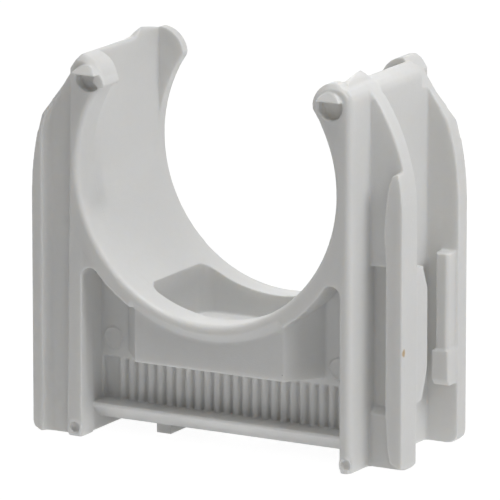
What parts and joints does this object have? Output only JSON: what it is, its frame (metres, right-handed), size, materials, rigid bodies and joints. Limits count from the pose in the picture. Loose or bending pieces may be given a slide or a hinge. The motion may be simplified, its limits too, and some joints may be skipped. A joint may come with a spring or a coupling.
{
  "type": "pipe clip",
  "caption": "One-piece plastic pipe clip: an open round seat the pipe snaps into, a sunk screw recess below it, and side ribs, flanges and tongues that couple it to its neighbours.",
  "frame": {"origin": "centre of the mounting surface, on the fixing screw's axis", "axes": "+Z away from the mounting surface towards the open mouth, Y along the pipe, X across the clip; the clip is the same after half a turn about Z"},
  "size_m": [0.0706, 0.0338, 0.0681],
  "materials": {
    "plastic": "fine matt moulded surface, light grey"
  },
  "bodies": {
    "root": {"pipe_clip": "plastic"}
  },
  "joints": []
}
